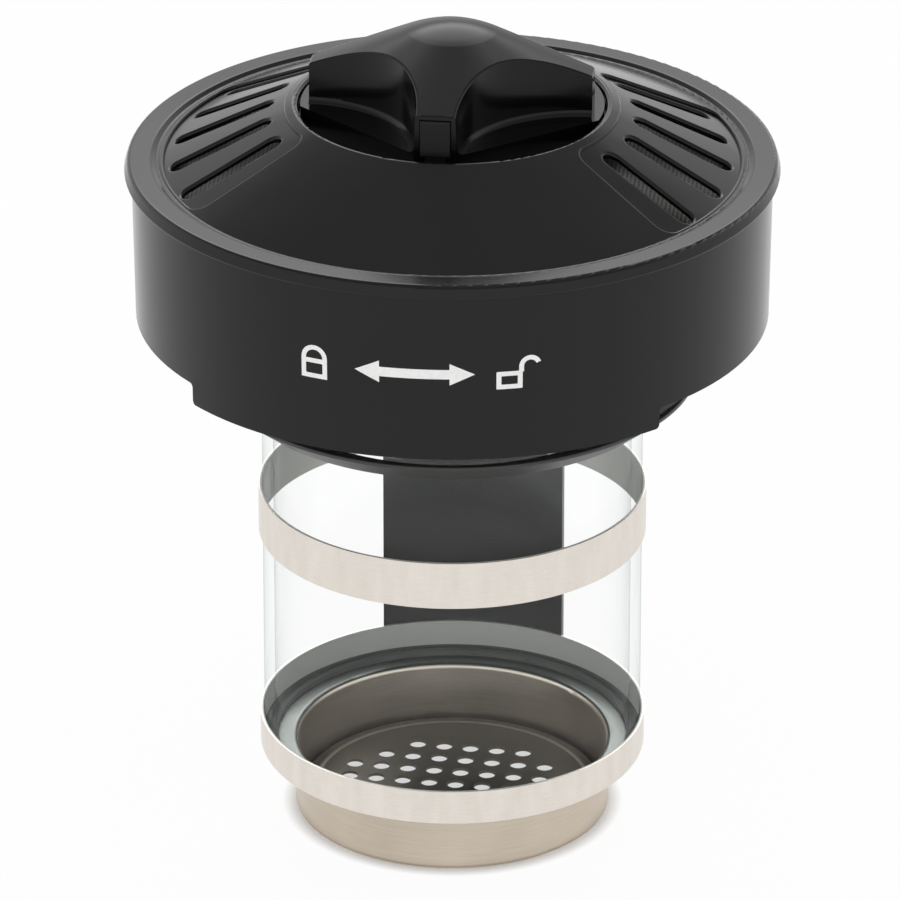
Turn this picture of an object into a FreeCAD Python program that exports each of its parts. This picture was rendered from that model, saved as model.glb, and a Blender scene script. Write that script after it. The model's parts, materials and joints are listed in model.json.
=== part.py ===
import FreeCAD, Part
import math
import os

# Glass roasting chamber with a lift-off chaff collector for a hot-air coffee bean roaster.
# Millimetres, +Z up. The origin is on the chamber's axis at the foot of its base cup.
# The printed front of the collector faces -Y, and the chamber's handle stands at +Y.
# Each group gives the sizes that a designer sets, then the places that follow from them.

# Clearances
fit_gap = 0.1            # between nested round pieces that are fixed to each other
lift_gap = 0.3           # between pieces that lift off or slide on each other
turn_gap = 0.08          # radial play of the knob's shaft in its bearing
thread_gap = 0.02        # between a thread and the bore that it is driven into
face_gap = 0.05          # between flat faces that are screwed together

# Edges
edge_round = 0.5
soft_round = 1.2

# Base cup and its air plate
steel_sheet = 0.8
cup_inset = 8.5          # from the glass's outside in to the cup's
cup_height = 19.3        # underside of the cup's flange
foot_width = 4.0
foot_round = 0.7         # inside of the pressed bends
air_plate_height = 4.2
hole_pitch = 7.45
hole_radius = 2.35
hole_turn = -3.8         # the punched grid sits a little askew, in degrees
hole_shift = 0.9         # and a little to the right
hole_columns = 4         # to each side of the middle one
hole_rows = 3

cup_flange_top = cup_height + steel_sheet

# Glass, standing on a flat gasket
glass_radius = 51.7
glass_wall = 3.0
flare_start = 126.3
flare_height = 8.7
mouth_radius = 64.8
mouth_height = 5.6       # of the straight mouth above the flare
flare_bend = 3.0
gasket_thickness = 1.5
gasket_width = 4.0

cup_radius = glass_radius - cup_inset
glass_bottom = cup_flange_top + gasket_thickness
flare_end = flare_start + flare_height
mouth_top = flare_end + mouth_height
flare_turn = math.atan2(mouth_radius - glass_radius, flare_end - flare_start)

# Steel bands round the glass
band_gap = 0.3
lower_band_height = 10.3
lower_band_hem = 6.0
upper_band_bottom = 83.9
upper_band_height = 13.3

band_inner = glass_radius + band_gap
band_radius = band_inner + steel_sheet
lower_band_bottom = cup_height - steel_sheet
lower_band_top = lower_band_bottom + lower_band_height
upper_band_top = upper_band_bottom + upper_band_height

# Collar under the glass's flare, and the handle's back plate
collar_wall = 1.6
collar_border = 0.6      # of the collar's foot beyond the back plate
collar_overhang = 1.2    # of the collar's top beyond the glass's mouth
collar_edge = 1.0        # height of the collar's outer edge
collar_round = 0.4
collar_foot_drop = 1.7   # from the start of the flare down to the collar's foot
collar_top_drop = 3.2    # from the end of the flare down to the collar's top
plate_width = 50.2
plate_thickness = 4.5
plate_bottom = 14.5
plate_corner = 6.0

plate_inner_radius = band_radius + fit_gap
plate_radius = plate_inner_radius + plate_thickness
collar_foot_radius = plate_radius + collar_border
collar_radius = mouth_radius + collar_overhang
collar_bottom = flare_start - collar_foot_drop
collar_top = flare_end - collar_top_drop
plate_top = collar_bottom + collar_wall / 2

# Grip
grip_width = 24.0
grip_depth = 14.0
grip_reach = 101.0       # from the axis to the outside of the grip
grip_bottom = 19.0
grip_top = 116.0
grip_lower_arm = 17.0
grip_upper_arm = 33.0    # at the back plate, so that it takes the upper studs
grip_upper_slope = 15.0  # the loop opens by this much towards the outside
grip_round = 5.0
grip_lean = 3.5          # the grip's foot lies this much further in than its top
grip_bend = 15.0
finger_bend = 9.0

grip_seat = plate_radius + fit_gap

# Studs welded to the bands' backs
stud_radius = 2.0
stud_length = 16.0
stud_spread = 5.5        # degrees to each side of the handle's middle

lower_stud_height = (cup_flange_top + lower_band_top) / 2
upper_stud_height = (upper_band_bottom + upper_band_top) / 2

# Seal on the glass's mouth
seal_leg = 1.9
seal_web = 3.2
seal_outer_depth = 4.0   # how far the legs reach down from the mouth
seal_inner_depth = 2.2

seal_inner_radius = mouth_radius - glass_wall - lift_gap - seal_leg
seal_radius = mouth_radius + lift_gap + seal_leg
seal_top = mouth_top + lift_gap + seal_web

# Floor of the chaff space, with the neck that holds the seal
tray_above_mouth = 12.4
tray_thickness = 2.4
neck_wall = 2.2
neck_depth = 4.0         # below the mouth's top

tray_top = mouth_top + tray_above_mouth
tray_under = tray_top - tray_thickness
neck_inner = seal_radius + 2 * fit_gap
neck_radius = neck_inner + neck_wall
neck_bottom = mouth_top - neck_depth
shelf_inner_radius = seal_inner_radius + fit_gap

# Drum of the chaff collector
chaff_width = 16.5       # from the neck to the drum's outside
drum_lean = 0.7
drum_wall = 2.5
drum_above_tray = 36.6
drum_below_tray = 4.0
tab_depth = 5.9          # the front tab below the rest of the drum's edge
tab_half_angle = 46.7
tab_corner = 1.2
lip_width = 2.5          # the ledge that carries the floor's edge
lip_thickness = 1.4

drum_top_radius = neck_radius + chaff_width
drum_bottom_radius = drum_top_radius - drum_lean
drum_top = tray_top + drum_above_tray
drum_bottom = tray_top - drum_below_tray
tab_bottom = drum_bottom - tab_depth

# Chimney
chimney_step = 0.3       # the tube's inside stands this far outside the neck's shelf
chimney_height = 23.0
chimney_bead = 1.2
flange_border = 4.4      # from the screws' circle to the flange's edge
chimney_screw_count = 4
small_screw_radius = 1.4
small_head_radius = 2.6
small_head_height = 1.4
small_screw_length = 7.0
boss_radius = 3.2
boss_overlap = 0.8       # how far the bosses stand in the neck's wall

chimney_inner = shelf_inner_radius + chimney_step
chimney_radius = chimney_inner + steel_sheet
chimney_screw_circle = neck_radius + boss_radius - boss_overlap
chimney_top = tray_top + chimney_height

# Cover
rim_overhang = 2.1       # beyond the drum
rim_lean = 1.1
rim_height = 3.5
rim_flat_width = 6.1
valley_width = 1.8
cone_foot_width = 3.0    # from the valley to the point that sets the cone's height
cone_foot_rise = 0.4     # of that point above the rim
cone_slope = 0.4514
cover_wall = 2.4
well_radius = 41.2
well_depth = 6.5
skirt_gap = 0.6
skirt_depth = 5.9

rim_radius = drum_top_radius + rim_overhang
rim_top_radius = rim_radius - rim_lean
rim_flat_inner = rim_top_radius - rim_flat_width
valley_radius = rim_flat_inner - valley_width
cone_radius = valley_radius - cone_foot_width
rim_bottom = drum_top + lift_gap
rim_top = rim_bottom + rim_height
cone_height = rim_top + cone_foot_rise
skirt_radius = drum_top_radius - drum_wall - skirt_gap
skirt_inner = skirt_radius - cover_wall
skirt_bottom = rim_bottom - skirt_depth
well_floor = cone_height + cone_slope * (cone_radius - well_radius) - well_depth
well_outer = well_radius + cover_wall

# Vents: on each side a shallow panel with a fan of slots
slot_width = 5.0
slot_inner = 48.5        # from the axis to the slots' inner ends
slot_border = 4.4        # from the slots' outer ends to the valley
slot_border_shift = 3.0  # the circle of the outer ends is centred this far to the front
fan_back = 14.0          # the fan's centre lies this far beyond the axis
fan_side = 9.2           # and this far to the back
fan_start = -28.6        # direction of the front slot, in degrees
fan_pitch = 11.3
slot_count = 5
panel_depth = 1.0
panel_inner = 45.0
panel_border = 1.8       # from the panel's edge to the valley
panel_front_turn = 5.7   # the panel's front edge is turned this far from the first slot, in degrees
panel_front_margin = 2.5
panel_back_margin = 5.5
panel_corner = 4.0
panel_round = 0.6
slot_round = 0.8

slot_outer = valley_radius - slot_border

# Filter screen and the ring that holds it
frame_width = 5.0
frame_above_skirt = 0.9
screen_slope = 0.413
screen_inner_gap = 0.2
screen_border = 3.2      # from the screen's edge to the skirt
screen_sheet = 0.5
screen_screw_angles = [-50, -130, 60, 120]
screen_boss_radius = 2.4
screen_screw_radius = 1.1
screen_head_radius = 2.1
screen_head_height = 1.2
screen_screw_length = 5.0

frame_inner = skirt_inner - frame_width
frame_bottom = skirt_bottom + frame_above_skirt
frame_top = frame_bottom + steel_sheet
screen_screw_circle = skirt_inner - screen_boss_radius - 4 * fit_gap

# Knob
disc_lift = 0.4          # above the well's floor
disc_thickness = 1.8
deck_height = 4.9        # above the disc's underside
deck_step = 0.3          # the deck's edge lies this far inside the disc's
knob_height = 28.2
dome_slope = 0.38
dome_round = 12.0        # the slope starts at this radius
bar_inset = 3.2          # from the well's wall to the bar's ends
bar_back_at_end = 3.0
bar_back_at_middle = 5.6
bar_corner = 1.5
bar_back_round = 40.0
pillar_inset = 4.0       # from the well's wall to the pillar's front
pillar_half_width = 5.6  # at its foot, where the deck's front edges end
deck_front_at_bar = 8.7  # from the bar's middle line to the deck's edge, at the bar's end
deck_step_at_pillar = 1.2  # the deck ends this far behind the pillar's front
scoop_out = 0.1          # the scoops are centred this far outside the bar's ends
scoop_back = 0.2         # and this far behind the pillar's front
scoop_web = 5.7          # the foot of its wall is this much nearer to it than the bar's middle
scoop_draft = 1.0        # the wall leans out by this much
scoop_bend = 2.0         # between the scoop's wall and its floor
rim_round = 0.7          # edges of the bar and the scoops

disc_radius = well_radius - lift_gap
bar_half_length = well_radius - bar_inset
pillar_front = well_radius - pillar_inset
deck_front_at_pillar = pillar_front - deck_step_at_pillar
scoop_x = bar_half_length + scoop_out
scoop_y = scoop_back - pillar_front
scoop_foot_radius = bar_half_length - scoop_web
scoop_top_radius = scoop_foot_radius + scoop_draft
disc_bottom = well_floor + disc_lift
disc_top = disc_bottom + disc_thickness
deck_top = disc_bottom + deck_height
deck_radius = disc_radius - deck_step
dome_peak = disc_bottom + knob_height

# Shaft through the cover's hub
shaft_radius = 9.72
hub_height = 13.9
hub_wall = 3.7
key_radius = 7.4
key_half_width = 5.9
knob_screw_radius = 2.4
knob_screw_head_radius = 4.4
knob_screw_head_height = 2.8
knob_screw_length = 14.0
washer_radius = 10.0
washer_thickness = 1.2

bearing_radius = shaft_radius + turn_gap
hub_radius = bearing_radius + hub_wall
shaft_bottom = well_floor - hub_height

# Lock plate: the chaff deflector with three bayonet arms, and the drum's ledges over them
deflector_radius = 50.0
lock_sheet = 1.6
arm_half_width = 7.0
arm_knee_radius = 70.0
arm_bend = 2.0
arm_gap = 1.3            # between the arms' tips and the drum
arm_angles = [90, -30, -150]
arm_half_angle = 7.0     # half of an arm's tip with its clearance
ledge_gap = 0.4          # between the arms and the ledges above them
ledge_skirt_gap = 0.6
ledge_width = 4.2
ledge_thickness = 2.4
lock_turn = 17.4         # degrees, clockwise from above
unlock_turn = 19.2       # degrees, anticlockwise

ledge_bottom = skirt_bottom - ledge_skirt_gap - ledge_thickness
arm_top = ledge_bottom - ledge_gap
lock_plate_top = shaft_bottom - face_gap
lock_plate_bottom = lock_plate_top - lock_sheet
washer_bottom = lock_plate_bottom - washer_thickness

# Latch button
button_width = 8.1
button_height = 10.1
button_proud = 0.9
button_depth = 10.5
button_travel = 2.0
button_gap = 0.2
nose_width = 5.6
nose_height = 3.5
nose_depth = 8.0
nose_inset = 1.5         # the nose leaves the button this far behind its face
notch_depth = 1.6
notch_gap = 0.5
spring_radius = 2.6
spring_wire = 0.7
spring_length = 8.0
spring_turns = 5
peg_length = 1.5

button_bottom = deck_top + button_gap
button_top = button_bottom + button_height
button_axis = (button_bottom + button_top) / 2
button_face = -pillar_front - button_proud
button_back = button_face + button_depth
pocket_back = button_back + button_travel + button_gap
spring_back = button_back + spring_length
nose_bottom = disc_bottom + notch_gap
nose_top = nose_bottom + nose_height
nose_front = -math.sqrt((well_radius - lift_gap) ** 2 - (nose_width / 2) ** 2)

V = FreeCAD.Vector
origin = V(0, 0, 0)
up = V(0, 0, 1)
cut_through = 300.0      # longer than any piece, for cutting tools
margin = 1.0             # how far a cutting tool stands out of the face that it cuts


def rounded_face(corners, place):
    # Corners are (a, b) or (a, b, radius); place turns (a, b) into a point in space.
    stops = []
    for index, corner in enumerate(corners):
        here = place(corner[0], corner[1])
        if len(corner) < 3:
            stops.append((here, None, here))
            continue
        before = corners[index - 1]
        after = corners[(index + 1) % len(corners)]
        to_before = (place(before[0], before[1]) - here).normalize()
        to_after = (place(after[0], after[1]) - here).normalize()
        half_angle = to_before.getAngle(to_after) / 2
        setback = corner[2] / math.tan(half_angle)
        middle = (to_before + to_after).normalize()
        reach = corner[2] / math.sin(half_angle) - corner[2]
        stops.append((here + to_before * setback, here + middle * reach, here + to_after * setback))
    edges = []
    for index, (entry, arc_middle, leave) in enumerate(stops):
        if arc_middle:
            edges.append(Part.Arc(entry, arc_middle, leave).toShape())
        next_entry = stops[(index + 1) % len(stops)][0]
        if leave.distanceToPoint(next_entry) > 1e-6:
            edges.append(Part.LineSegment(leave, next_entry).toShape())
    return Part.Face(Part.Wire(edges))


def section(corners):
    return rounded_face(corners, lambda radius, height: V(radius, 0, height))


def ring(corners, start=0, sweep=360):
    # Turns a half section of (radius, height) corners about the axis.
    solid = section(corners).revolve(origin, up, sweep)
    solid.rotate(origin, up, start)
    return solid


def tube(inner, outer, bottom, top):
    return ring([(inner, bottom), (outer, bottom), (outer, top), (inner, top)])


def disc(radius, bottom, top):
    return Part.makeCylinder(radius, top - bottom, V(0, 0, bottom))


def plan_prism(corners, bottom, top):
    face = rounded_face(corners, lambda x, y: V(x, y, bottom))
    return face.extrude(V(0, 0, top - bottom))


def side_prism(corners, half_width):
    # Corners are (y, z); the prism runs to half_width on each side of the middle.
    face = rounded_face(corners, lambda y, z: V(-half_width, y, z))
    return face.extrude(V(2 * half_width, 0, 0))


def block(x_size, y_from, y_to, z_from, z_to):
    return Part.makeBox(x_size, y_to - y_from, z_to - z_from, V(-x_size / 2, y_from, z_from))


def turned(solid, angle):
    copy = solid.copy()
    copy.rotate(origin, up, angle)
    return copy


def mirrored(solid):
    return solid.mirror(origin, V(1, 0, 0))


def post(radius, circle, angle, bottom, top):
    # An upright cylinder on a circle about the axis.
    return turned(Part.makeCylinder(radius, top - bottom, V(circle, 0, bottom)), angle)


def along_y(radius, y_from, y_to, height):
    return Part.makeCylinder(radius, y_to - y_from, V(0, y_from, height), V(0, 1, 0))


def fuse_all(solids):
    return solids[0].multiFuse(solids[1:]).removeSplitter()


def edges_on(solid, surface_height, tolerance=0.001):
    # The edges that lie on a surface given by its height at a distance from the axis.
    def lies_on(point):
        return abs(point.z - surface_height(math.hypot(point.x, point.y))) < tolerance
    found = []
    for edge in solid.Edges:
        ends = [edge.valueAt(edge.FirstParameter), edge.valueAt(edge.LastParameter)]
        ends.append(edge.valueAt((edge.FirstParameter + edge.LastParameter) / 2))
        if all(lies_on(point) for point in ends):
            found.append(edge)
    return found


def edges_round(solid, tool, surface_height):
    # The edges that a cutting tool has left on such a surface.
    found = []
    for edge in edges_on(solid, surface_height):
        middle = edge.valueAt((edge.FirstParameter + edge.LastParameter) / 2)
        if tool.distToShape(Part.Vertex(middle))[0] < 0.01:
            found.append(edge)
    return found


def cone_top(radius):
    # Height of the cover's cone at a radius.
    return cone_height - cone_slope * (radius - cone_radius)


def cone_under(radius):
    return cone_top(radius) - cover_wall * math.hypot(1, cone_slope)


def panel_floor(radius):
    return cone_top(radius) - panel_depth


# Chamber

def flare_shift(thickness):
    # How far a bend in the glass moves up for a face that lies this far inside the outer face.
    return thickness * math.tan(flare_turn / 2)


def make_glass_chamber():
    shift = flare_shift(glass_wall)
    lip = glass_wall * 0.4
    inner_radius = glass_radius - glass_wall
    inner_mouth = mouth_radius - glass_wall
    return ring([
        (inner_radius, glass_bottom, lip),
        (glass_radius, glass_bottom, lip),
        (glass_radius, flare_start, flare_bend),
        (mouth_radius, flare_end, flare_bend),
        (mouth_radius, mouth_top, lip),
        (inner_mouth, mouth_top, lip),
        (inner_mouth, flare_end + shift, flare_bend),
        (inner_radius, flare_start + shift, flare_bend),
    ])


def make_glass_space():
    # The room that the glass takes, with its clearance.
    shift = -flare_shift(lift_gap)
    return ring([
        (0, 0),
        (glass_radius + lift_gap, 0),
        (glass_radius + lift_gap, flare_start + shift, flare_bend),
        (mouth_radius + lift_gap, flare_end + shift, flare_bend),
        (mouth_radius + lift_gap, cut_through),
        (0, cut_through),
    ])


def make_base_cup():
    # One pressing: turned-in foot, wall and a flange that the glass stands on.
    inner = cup_radius - steel_sheet
    flange_edge = band_inner - fit_gap
    return ring([
        (cup_radius - foot_width, 0),
        (cup_radius, 0, foot_round + steel_sheet),
        (cup_radius, cup_height),
        (flange_edge, cup_height, foot_round),
        (flange_edge, cup_flange_top),
        (inner, cup_flange_top, foot_round + steel_sheet),
        (inner, steel_sheet, foot_round),
        (cup_radius - foot_width, steel_sheet),
    ])


def make_air_plate():
    # A shallow pan turned upside down, standing on the cup's foot.
    edge = cup_radius - steel_sheet - foot_round - fit_gap
    plate = ring([
        (0, air_plate_height - steel_sheet),
        (edge - steel_sheet, air_plate_height - steel_sheet),
        (edge - steel_sheet, steel_sheet),
        (edge, steel_sheet),
        (edge, air_plate_height, foot_round + steel_sheet),
        (0, air_plate_height),
    ])
    holes = []
    for column in range(-hole_columns, hole_columns + 1):
        for row in range(-hole_rows, hole_rows + 1):
            if abs(column) + abs(row) > hole_columns + 1:
                continue
            centre = V(column * hole_pitch + hole_shift, row * hole_pitch, 0)
            holes.append(Part.makeCylinder(hole_radius, air_plate_height + margin, centre))
    return plate.cut(turned(Part.makeCompound(holes), hole_turn))


def make_lower_band():
    # Its hem is turned in under the cup's flange.
    hem = band_radius - lower_band_hem
    return ring([
        (hem, lower_band_bottom),
        (band_radius, lower_band_bottom, foot_round + steel_sheet),
        (band_radius, lower_band_top),
        (band_inner, lower_band_top),
        (band_inner, cup_height, foot_round),
        (hem, cup_height),
    ])


def make_upper_band():
    return tube(band_inner, band_radius, upper_band_bottom, upper_band_top)


def make_glass_gasket():
    outer = band_inner - fit_gap
    return tube(outer - gasket_width, outer, cup_flange_top, glass_bottom)


def radial_rod(radius, angle, height, start, length):
    # A cylinder that points away from the axis.
    rod = Part.makeCylinder(radius, length, V(start, 0, height), V(1, 0, 0))
    return turned(rod, angle)


def stud_rods(radius, start, length):
    rods = []
    for height in (lower_stud_height, upper_stud_height):
        for angle in (90 - stud_spread, 90 + stud_spread):
            rods.append(radial_rod(radius, angle, height, start, length))
    return Part.makeCompound(rods)


def make_handle_studs():
    # They run from the bands through the back plate into the grip's arms.
    return stud_rods(stud_radius, band_radius + face_gap, stud_length)


def make_collar():
    # A thin funnel on a flat foot.
    spread = (collar_radius - collar_foot_radius) / (collar_top - collar_edge - collar_bottom)
    rim_inner = collar_radius - collar_wall
    foot_top = collar_bottom + collar_wall
    return ring([
        (glass_radius, collar_bottom),
        (collar_foot_radius, collar_bottom, edge_round),
        (collar_radius, collar_top - collar_edge),
        (collar_radius, collar_top, collar_round),
        (rim_inner, collar_top, collar_round),
        (rim_inner - (collar_top - foot_top) * spread, foot_top, edge_round),
        (glass_radius, foot_top),
    ])


def make_back_plate():
    # A curved plate with rounded lower corners.
    half = plate_width / 2
    outline = rounded_face([
        (-half, plate_bottom, plate_corner),
        (half, plate_bottom, plate_corner),
        (half, plate_top),
        (-half, plate_top),
    ], lambda x, z: V(x, 0, z))
    shell = tube(plate_inner_radius, plate_radius, plate_bottom, plate_top)
    return shell.common(outline.extrude(V(0, cut_through, 0)))


def make_handle_frame():
    # One moulding: the collar under the glass's flare and the back plate that hangs from it.
    frame = make_collar().fuse(make_back_plate())
    frame = frame.cut(make_glass_space()).removeSplitter()
    return frame.cut(stud_rods(stud_radius + fit_gap, band_inner, stud_length))


def make_handle_grip():
    # A loop whose two arms stand on the back plate.
    root = grip_seat - 4 * margin
    inside = grip_reach - grip_depth
    loop = side_prism([
        (root, grip_bottom),
        (grip_reach - grip_lean, grip_bottom, grip_bend),
        (grip_reach, grip_top, grip_bend),
        (root, grip_top),
    ], grip_width / 2)
    floor = grip_bottom + grip_lower_arm
    ceiling = grip_top - grip_upper_arm
    hole = side_prism([
        (root, floor),
        (inside - grip_lean, floor, finger_bend),
        (inside, ceiling + grip_upper_slope, finger_bend),
        (root, ceiling),
    ], grip_width)
    grip = loop.cut(hole)
    long_edges = []
    for edge in grip.Edges:
        if edge.BoundBox.XLength < 0.01 and edge.BoundBox.YMax > grip_seat + margin:
            long_edges.append(edge)
    grip = grip.makeFillet(grip_round, long_edges)
    grip = grip.cut(disc(grip_seat, 0, cut_through))
    return grip.cut(stud_rods(stud_radius + thread_gap, plate_radius, stud_length))


# Collector

def drum_inner(height):
    lean = (drum_top_radius - drum_bottom_radius) / (drum_top - tab_bottom)
    return drum_bottom_radius + lean * (height - tab_bottom) - drum_wall


def trim_to_tab(wall):
    # Away from the front tab the wall ends higher.
    front = -90 + tab_half_angle
    wall = wall.cut(ring([
        (neck_radius, tab_bottom - margin),
        (cut_through, tab_bottom - margin),
        (cut_through, drum_bottom),
        (neck_radius, drum_bottom),
    ], front, 360 - 2 * tab_half_angle))
    corners = []
    for height in (tab_bottom, drum_bottom):
        for edge in edges_on(wall, lambda radius: height):
            if edge.Length < drum_wall + margin:
                corners.append(edge)
    return wall.makeFillet(tab_corner, corners)


def make_ledge():
    root = drum_inner(ledge_bottom)
    tip = root - ledge_width
    top = ledge_bottom + ledge_thickness
    return ring([
        (tip, ledge_bottom, edge_round),
        (root + margin, ledge_bottom),
        (root + margin, top),
        (tip, top, edge_round),
    ], 0, lock_turn)


def make_drum():
    lip_bottom = tray_under - lip_thickness
    wall = ring([
        (drum_inner(tab_bottom), tab_bottom),
        (drum_bottom_radius, tab_bottom),
        (drum_top_radius, drum_top, edge_round),
        (drum_inner(drum_top), drum_top),
        (drum_inner(tray_top), tray_top),
        (drum_inner(tray_top), tray_under),
        (drum_inner(tray_under) - lip_width, tray_under),
        (drum_inner(tray_under) - lip_width, lip_bottom),
        (drum_inner(lip_bottom), lip_bottom),
    ])
    ledge = make_ledge()
    ledges = [turned(ledge, angle - arm_half_angle - lock_turn) for angle in arm_angles]
    return fuse_all([trim_to_tab(wall)] + ledges)


def chimney_screw_angles():
    return [index * 360 / chimney_screw_count for index in range(chimney_screw_count)]


def make_collector_base():
    # Floor of the chaff space, with the neck that carries the seal.
    edge = drum_inner(tray_top) - fit_gap
    base = ring([
        (neck_inner, neck_bottom),
        (neck_radius, neck_bottom),
        (neck_radius, tray_under, soft_round),
        (edge, tray_under),
        (edge, tray_top),
        (neck_inner, tray_top),
        (neck_inner, seal_top + neck_wall),
        (shelf_inner_radius, seal_top + neck_wall),
        (shelf_inner_radius, seal_top),
        (neck_inner, seal_top),
    ])
    pilot_bottom = tray_top - small_screw_length
    bosses = []
    pilots = []
    for angle in chimney_screw_angles():
        bosses.append(post(boss_radius, chimney_screw_circle, angle, pilot_bottom - margin, tray_top))
        pilots.append(post(small_screw_radius + thread_gap, chimney_screw_circle, angle, pilot_bottom,
                           tray_top + margin))
    return fuse_all([base] + bosses).cut(Part.makeCompound(pilots))


def make_rim_seal():
    # A channel that caps the glass's mouth.
    inner_foot = mouth_top - seal_inner_depth
    outer_foot = mouth_top - seal_outer_depth
    return ring([
        (seal_inner_radius, inner_foot, edge_round),
        (seal_inner_radius + seal_leg, inner_foot, edge_round),
        (seal_inner_radius + seal_leg, mouth_top + lift_gap),
        (seal_radius - seal_leg, mouth_top + lift_gap),
        (seal_radius - seal_leg, outer_foot, edge_round),
        (seal_radius, outer_foot, edge_round),
        (seal_radius, seal_top),
        (seal_inner_radius, seal_top),
    ])


def make_chimney():
    # Rolled steel tube with a screwed flange and a bead round its mouth.
    flange = chimney_screw_circle + flange_border
    tube_part = ring([
        (chimney_inner, tray_top, foot_round + steel_sheet),
        (flange, tray_top),
        (flange, tray_top + steel_sheet),
        (chimney_radius, tray_top + steel_sheet, foot_round),
        (chimney_radius, chimney_top),
        (chimney_inner, chimney_top),
    ])
    bead_circle = chimney_inner + chimney_bead
    chimney = tube_part.fuse(Part.makeTorus(bead_circle, chimney_bead, V(0, 0, chimney_top)))
    holes = []
    for angle in chimney_screw_angles():
        holes.append(post(small_screw_radius + fit_gap, chimney_screw_circle, angle, tray_top - margin,
                          tray_top + steel_sheet + margin))
    return chimney.cut(Part.makeCompound(holes))


def make_chimney_screws():
    screws = []
    seat = tray_top + steel_sheet
    for angle in chimney_screw_angles():
        shank = post(small_screw_radius, chimney_screw_circle, angle, seat - small_screw_length, seat)
        head = post(small_head_radius, chimney_screw_circle, angle, seat, seat + small_head_height)
        screws.append(shank.fuse(head))
    return Part.makeCompound(screws)


# Cover

def fan_direction(index):
    return math.radians(fan_start + index * fan_pitch)


def fan_reach(direction, radius, centre_y):
    # How far it is from the fan's centre to a circle about (0, centre_y), in a direction.
    x = -fan_back
    y = fan_side - centre_y
    along = x * math.cos(direction) + y * math.sin(direction)
    return math.sqrt(along ** 2 - x ** 2 - y ** 2 + radius ** 2) - along


def fan_point(direction, distance, to_left=0):
    x = distance * math.cos(direction) - to_left * math.sin(direction) - fan_back
    y = distance * math.sin(direction) + to_left * math.cos(direction) + fan_side
    return (x, y)


def make_slot(index):
    direction = fan_direction(index)
    start = fan_reach(direction, slot_inner, 0)
    end = fan_reach(direction, slot_outer, -slot_border_shift)
    half = slot_width / 2
    corner = half * 0.98
    return plan_prism([
        fan_point(direction, start, half) + (corner,),
        fan_point(direction, start, -half) + (corner,),
        fan_point(direction, end, -half) + (corner,),
        fan_point(direction, end, half) + (corner,),
    ], skirt_bottom, cut_through)


def make_panel():
    # The room above one side's vent panel.
    front = fan_direction(0) - math.radians(panel_front_turn)
    last = fan_direction(slot_count - 1)
    outline = plan_prism([
        fan_point(front, 0, -panel_front_margin),
        fan_point(front, cut_through, -panel_front_margin),
        fan_point(last, cut_through, panel_back_margin),
        fan_point(last, 0, panel_back_margin),
    ], skirt_bottom, cut_through)
    outer = valley_radius - panel_border
    sector = ring([
        (panel_inner, panel_floor(panel_inner)),
        (outer, panel_floor(outer)),
        (outer, cut_through),
        (panel_inner, cut_through),
    ])
    panel = outline.common(sector)
    upright = []
    for edge in panel.Edges:
        if edge.BoundBox.ZLength > margin and edge.BoundBox.XLength < 0.001:
            upright.append(edge)
    return panel.makeFillet(panel_corner, upright)


def make_screen_bosses():
    roof = ring([
        (well_outer, cone_under(well_outer) + margin),
        (skirt_radius, cone_under(skirt_radius) + margin),
        (skirt_radius, cut_through),
        (well_outer, cut_through),
    ])
    bosses = [post(screen_boss_radius, screen_screw_circle, angle, frame_top, rim_top)
              for angle in screen_screw_angles]
    return [boss.cut(roof) for boss in bosses]


def make_cover_shell():
    hub_bottom = shaft_bottom + lift_gap
    well_under = well_floor - cover_wall
    return ring([
        (rim_radius, rim_bottom, edge_round),
        (rim_top_radius, rim_top, soft_round),
        (rim_flat_inner, rim_top, soft_round),
        (valley_radius, cone_top(valley_radius), soft_round),
        (well_radius, cone_top(well_radius), soft_round),
        (well_radius, well_floor, edge_round),
        (bearing_radius, well_floor),
        (bearing_radius, hub_bottom),
        (hub_radius, hub_bottom),
        (hub_radius, well_under, soft_round),
        (well_outer, well_under, soft_round),
        (well_outer, cone_under(well_outer)),
        (skirt_inner, cone_under(skirt_inner)),
        (skirt_inner, skirt_bottom),
        (skirt_radius, skirt_bottom),
        (skirt_radius, rim_bottom),
    ])


def make_cover():
    cover = fuse_all([make_cover_shell()] + make_screen_bosses())
    panel = make_panel()
    panels = Part.makeCompound([panel, mirrored(panel)])
    cover = cover.cut(panels)
    cover = cover.makeFillet(panel_round, edges_round(cover, panels, cone_top))
    slots = [make_slot(index) for index in range(slot_count)]
    slots = Part.makeCompound(slots + [mirrored(slot) for slot in slots])
    cover = cover.cut(slots)
    cover = cover.makeFillet(slot_round, edges_round(cover, slots, panel_floor))
    cuts = []
    for angle in screen_screw_angles:
        cuts.append(post(screen_screw_radius + thread_gap, screen_screw_circle, angle, frame_top - margin,
                         frame_bottom + screen_screw_length))
    notch = block(nose_width + 2 * notch_gap, -well_radius - notch_depth, -well_radius + margin,
                  nose_bottom - notch_gap, nose_top + notch_gap)
    for angle in (-lock_turn, unlock_turn):
        cuts.append(turned(notch, angle))
    return cover.cut(Part.makeCompound(cuts))


def make_screen_frame():
    frame = tube(frame_inner, skirt_inner - fit_gap, frame_bottom, frame_top)
    holes = [post(screen_screw_radius + fit_gap, screen_screw_circle, angle, frame_bottom - margin,
                  frame_top + margin) for angle in screen_screw_angles]
    return frame.cut(Part.makeCompound(holes))


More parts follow.
